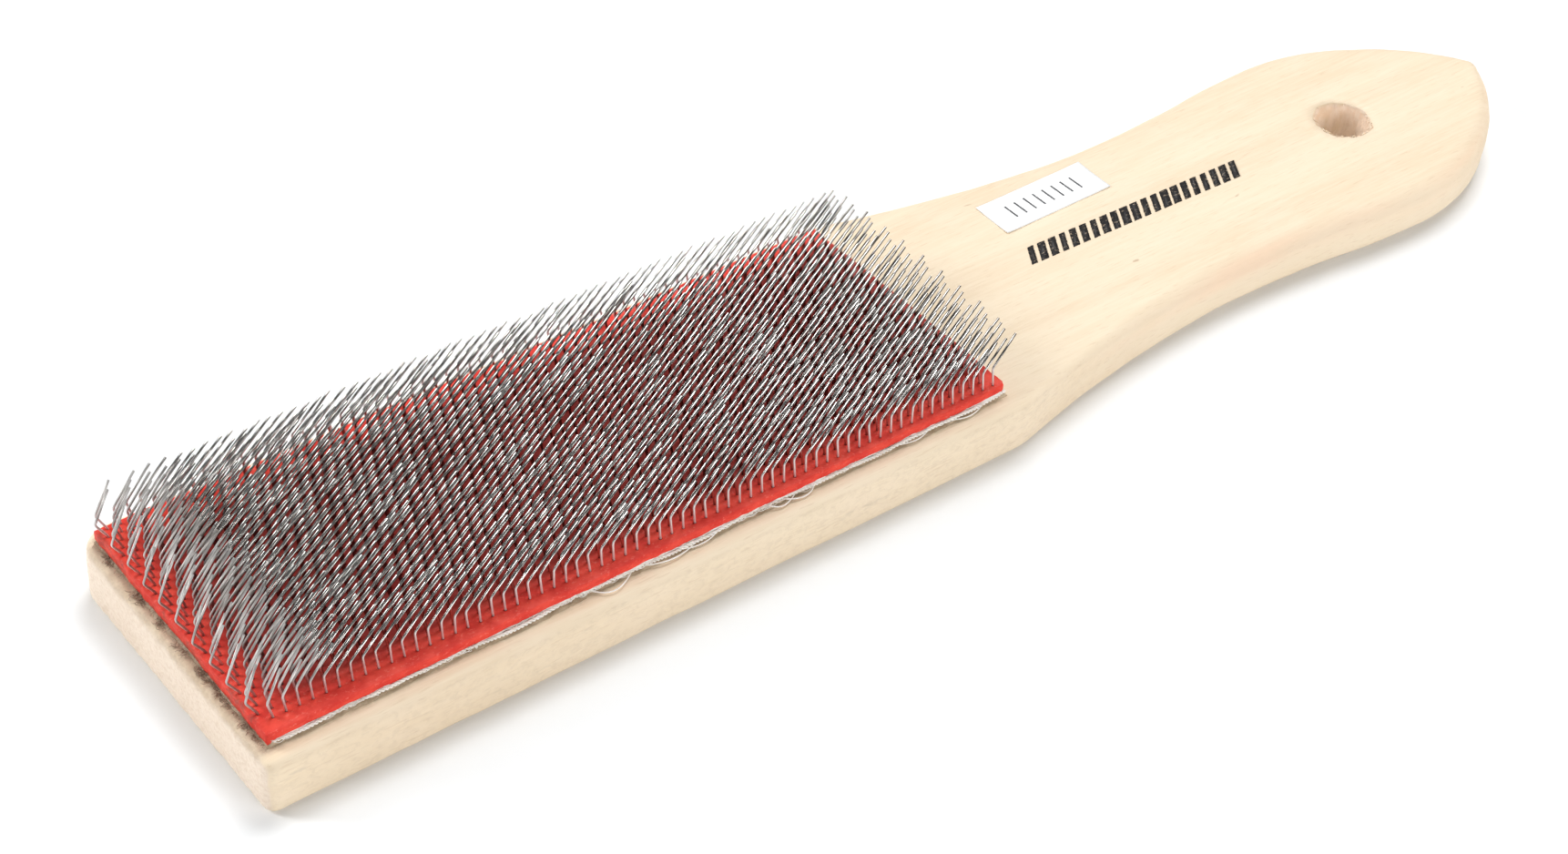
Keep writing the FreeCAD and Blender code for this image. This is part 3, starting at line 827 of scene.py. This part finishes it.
def make_wire_steel():
    material, shader, place = new_material("wire_steel", 0.3, Specular_IOR_Level=0.5)
    x, y, z = node("SeparateXYZ", {0: place}).outputs[:3]
    long_marks = speckle(place, (260, 900, 260), 3, 0.6)
    stains = speckle(place, (90, 120, 150), 3, 0.6)
    colour = mixed(rise(long_marks, 0.3, 0.7), (0.39, 0.375, 0.36), (0.72, 0.70, 0.675))
    colour = mixed(rise(stains, 0.50, 0.78, 0.0, 0.6), colour, (0.20, 0.16, 0.135))
    # painted shade: the last wires are painted darker
    last = rise(x, card_high.x - 5 * MM, card_high.x - 1 * MM, 0.0, 0.55)
    colour = mixed(last, colour, (0.13, 0.115, 0.105))
    # painted shade: the wires are painted darker low down inside the field
    deep_shade = product(amid_wires(x, y), rise(z, rubber_top + 5.0 * MM, rubber_top + 1.8 * MM))
    colour = mixed(product(deep_shade, 0.75), colour, (0.07, 0.05, 0.043))
    # painted reflection: the lower legs in the outer lines are painted pale pinkish grey, and made
    # less metallic, for the floor and rubber they reflect
    off_middle = maths("ABSOLUTE", y)
    pale_reflection = product(rise(off_middle, card_high.y - 2.6 * MM, card_high.y - 1.8 * MM),
                     rise(z, rubber_top + 3.6 * MM, rubber_top + 2.8 * MM))
    colour = mixed(product(pale_reflection, 0.85), colour, (0.80, 0.72, 0.70))
    metallic_share = maths("SUBTRACT", 1.0, product(pale_reflection, 0.6))
    # the first wires are scuffed dull by knocks
    scuffed = rise(x, card_low.x + 13 * MM, card_low.x + 4 * MM, 0.0, 0.32)
    roughness = maths("ADD", rise(long_marks, 0.3, 0.7, 0.20, 0.13), scuffed)
    surface(shader, long_marks, 0.004 * MM, 0.2, Base_Color=colour, Metallic=metallic_share,
            Roughness=roughness)
    return material


wire_steel = make_wire_steel()
near_lines = [line for line in range(WIRE_LINES) if line % (2 * TWILL) < TWILL]
for number, near_line in enumerate(near_lines, start=1):
    points, faces, flat_ends = make_wires(near_line, 100 + number)
    wires = show(f"wires_{number:02d}", points, faces, wire_steel, flat_ends)
    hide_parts(f"staple_line_{number:02d}")

# ---- The rubber face -------------------------------------
# A sheet of soft red rubber vulcanised to the cloth, which grips every wire and springs it back.
# Each wire dimples it where it comes through; its edge is knife cut, and a rear corner is chipped.

rubber_base = card_low.z
lines, places = np.meshgrid(np.arange(WIRE_LINES), np.arange(STAPLES_PER_LINE))
root_xs = root_x(lines.ravel(), places.ravel())
roots = np.column_stack([root_xs, line_y(lines.ravel(), root_xs)])


def root_rings():
    """Three rings of eight points round every wire, for its dimple."""
    angles = np.arange(8) * TAU / 8
    circle = np.stack([np.cos(angles), np.sin(angles)], axis=1)
    rings = np.concatenate([0.2 * circle, 0.34 * circle, 0.55 * circle]) * MM
    return (roots[:, None] + rings).reshape(-1, 2)


def rubber_dent(points):
    """How far the face is pushed down: a dimple at each wire, its raised lip, and unevenness."""
    x, y = points[:, 0], points[:, 1]
    line = np.clip(np.round((y - line_y(0, x)) / line_spacing), 0, WIRE_LINES - 1)
    place = np.clip(np.round((x - root_x(line, 0)) / staple_pitch), 0, STAPLES_PER_LINE - 1)
    root = root_x(line, place)
    away = np.hypot(x - root, y - line_y(line, root)) / MM
    dimple = 0.24 * np.exp(-(away / 0.27) ** 2) - 0.045 * np.exp(-((away - 0.5) / 0.16) ** 2)
    uneven = 0.02 * ripple(points, 6 * MM, 61)
    return (dimple + np.clip(uneven, -0.01, 0.05)) * MM


def make_rubber_pad():
    # growth and height: the knife drew the rubber's edge down over the cloth, most at the front
    shaped = [(-0.24, 0.0), (-0.12, -0.10), (0.0, -0.20), (0.06, -0.11), (0.06, 0.2),
              (0.06, 0.5), (0.03, 0.74), (-0.03, 0.85), (-0.12, 0.91), (-0.24, 0.935)]
    loops = [card_loop(grow * MM, 0.06 * MM, 0.03 * MM, 71, chip=0.9 * MM) for grow, _ in shaped]
    heights = [rubber_base + height * MM for _, height in shaped]
    points, faces = layer(loops, heights, rubber_dent, 1.1 * MM, root_rings(), 8)
    at_front = np.clip((card_low.x + 0.9 * MM - points[:, 0]) / (0.5 * MM), 0, 1)
    low_down = np.clip((rubber_base + 0.55 * MM - points[:, 2]) / (0.6 * MM), 0, 1)
    points[:, 2] -= 0.45 * MM * at_front * low_down
    return points, faces


def make_red_rubber():
    material, shader, place = new_material("red_rubber", 0.55, Specular_IOR_Level=0.22)
    x, y, z = node("SeparateXYZ", {0: place}).outputs[:3]
    mottle = speckle(place, (300, 420, 700), 4, 0.6)
    dust = speckle(place, (1500, 2100, 2600), 3, 0.7)
    colour = mixed(rise(mottle, 0.3, 0.7), (0.70, 0.036, 0.024), (0.87, 0.070, 0.042))
    colour = mixed(rise(dust, 0.55, 0.72, 0.0, 0.35), colour, (0.92, 0.26, 0.20))
    # grime sits on the front edge; among the wires and deep in their dimples the rubber is painted
    # darker as painted shade
    grime = product(rise(x, card_low.x + 1.0 * MM, card_low.x + 0.1 * MM),
                    rise(speckle(place, (300, 380, 700), 3, 0.7), 0.48, 0.68, 0.05, 0.6))
    colour = mixed(grime, colour, (0.22, 0.065, 0.05))
    # painted shade between the wires
    amid_shade = product(amid_wires(x, y), 0.76)
    colour = mixed(amid_shade, colour, (0.22, 0.016, 0.012))
    half_length = (card_high.x - card_low.x) / 2
    off_middle = maths("ABSOLUTE", maths("SUBTRACT", x, card_low.x + half_length))
    # painted shade: the rubber is painted darker deep in each wire's dimple
    dimple_shade = product(rise(off_middle, half_length - 0.3 * MM, half_length - 0.5 * MM),
                      rise(maths("ABSOLUTE", y), card_high.y - 0.3 * MM, card_high.y - 0.5 * MM),
                      rise(z, rubber_top - 0.07 * MM, rubber_top - 0.26 * MM))
    colour = mixed(dimple_shade, colour, (0.16, 0.006, 0.006))
    surface(shader, dust, 0.05 * MM, 0.6, Base_Color=colour,
            Roughness=rise(mottle, 0.3, 0.7, 0.6, 0.45))
    return material


rubber_pad = show("rubber_pad", *make_rubber_pad(), make_red_rubber())
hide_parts("rubber_face")

# ---- The paper label and the stamp -----------------------
# A small white self-adhesive slip, pressed on by hand beside the grip, with a plain row of ticks
# in grey ink. Next to it the wood is stamped with slanted bars in black ink, taken up unevenly.

label_low, label_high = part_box("paper_label")
label_length, label_width, label_turn = 21.2 * MM, 7.4 * MM, math.radians(1.0)
label_middle = (label_low + label_high) / 2
slip_top, slip_base = wood_top + 0.09 * MM, wood_top - 0.015 * MM


def turned(points, angle, middle):
    """Flat points turned by an angle and moved to a middle."""
    c, s = math.cos(angle), math.sin(angle)
    return np.column_stack([middle[0] + points[:, 0] * c - points[:, 1] * s,
                            middle[1] + points[:, 0] * s + points[:, 1] * c])


def label_lift(points):
    """How far the slip stands off the wood: its corners curl up a little."""
    x, y = np.abs(points[:, 0]) / (label_length / 2), np.abs(points[:, 1]) / (label_width / 2)
    return (0.02 + 0.10 * np.clip(x - 0.72, 0, 1) / 0.28 * np.clip(y - 0.2, 0, 1)) * MM


def make_label():
    columns, rows = 43, 15
    x, y = np.meshgrid(np.linspace(-0.5, 0.5, columns) * label_length,
                       np.linspace(-0.5, 0.5, rows) * label_width)
    flat = np.column_stack([x.ravel(), y.ravel()])
    flat[:, 0] += flat[:, 1] * 0.035  # it was torn off its roll slightly out of square
    lift = label_lift(flat)
    place = turned(flat, label_turn, label_middle)
    top, base = (at_height(place, height + lift) for height in (slip_top, slip_base))
    number = np.arange(columns * rows).reshape(rows, columns)
    grid = np.stack([number[:-1, :-1], number[:-1, 1:], number[1:, 1:], number[1:, :-1]], axis=-1)
    grid = grid.reshape(-1, 4)
    rim = np.concatenate([number[0, :-1], number[:-1, -1], number[-1, :0:-1], number[:0:-1, 0]])
    walls = between_rings(rim + columns * rows, rim)
    faces = grid.tolist() + (grid[:, ::-1] + columns * rows).tolist() + walls.tolist()
    return np.concatenate([top, base]), faces, len(walls)


def make_bars(shapes, angle, middle, base, thickness):
    """Thin flat bars of ink. Each shape is a loop of flat points round the bar."""
    points, faces = [], []
    for shape in shapes:
        start, count = sum(map(len, points)), len(shape)
        place = turned(shape, angle, middle)
        points += [at_height(place, height) for height in (base, base + thickness)]
        low, high = start + np.arange(count), start + count + np.arange(count)
        faces += [low[::-1].tolist(), high.tolist()] + between_rings(low, high).tolist()
    return np.concatenate(points), faces


def bar_shape(middle_x, width, height, slant, ragged, draw):
    """One slanted bar as a loop of points with a slightly ragged edge."""
    half_w, half_h = width / 2, height / 2
    corners = [(middle_x - half_w - slant, -half_h), (middle_x + half_w - slant, -half_h),
               (middle_x + half_w + slant, half_h), (middle_x - half_w + slant, half_h)]
    loop = side_points(corners, 0.25 * MM)
    return loop + draw.normal(0, ragged, loop.shape)


def make_paper():
    material, shader, place = new_material("paper", 0.6, Specular_IOR_Level=0.3)
    pulp = speckle(place, (900, 900, 900), 4, 0.6)
    colour = mixed(rise(pulp, 0.3, 0.7), (0.93, 0.935, 0.925), (0.98, 0.98, 0.975))
    surface(shader, pulp, 0.01 * MM, 0.5, Base_Color=colour)
    return material


def make_ink(name, dark, worn, patchy):
    material, shader, place = new_material(name, 0.5, Specular_IOR_Level=0.3)
    specks = speckle(place, (1300, 2600, 1300), 4, 0.7)
    colour = mixed(rise(specks, patchy, patchy + 0.12), dark, worn)
    surface(shader, specks, 0.01 * MM, 0.5, Base_Color=colour)
    return material


paper_slip = show("paper_slip", *make_label()[:2], make_paper())
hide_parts("paper_label")

ink_draw = np.random.default_rng(81)
tick_count, tick_pitch, tick_width, tick_height = 8, 1.9 * MM, 0.32 * MM, 3.0 * MM
ticks = [bar_shape((i - (tick_count - 1) / 2) * tick_pitch, tick_width, tick_height, 0, 0.012 * MM,
                   ink_draw) for i in range(tick_count)]
on_slip = wood_top + 0.105 * MM
label_ticks = show("label_ticks", *make_bars(ticks, label_turn, label_middle, on_slip, 0.012 * MM),
                   make_ink("grey_ink", (0.10, 0.10, 0.11), (0.45, 0.45, 0.46), 0.6))

stamp_middle, stamp_turn = (43.2 * MM, 0.2 * MM), math.radians(-1.2)
stamp_base = wood_top - 0.06 * MM
bar_count, bar_pitch, bar_height, bar_slant = 21, 2.05 * MM, 3.6 * MM, 1.05 * MM
bars = [bar_shape((i - (bar_count - 1) / 2) * bar_pitch, ink_draw.uniform(1.1, 1.6) * MM,
                  bar_height, bar_slant, 0.02 * MM, ink_draw) for i in range(bar_count)]
stamp_bars = show("stamp_bars", *make_bars(bars, stamp_turn, stamp_middle, stamp_base, 0.085 * MM),
                  make_ink("black_ink", (0.022, 0.02, 0.02), (0.42, 0.33, 0.24), 0.56))
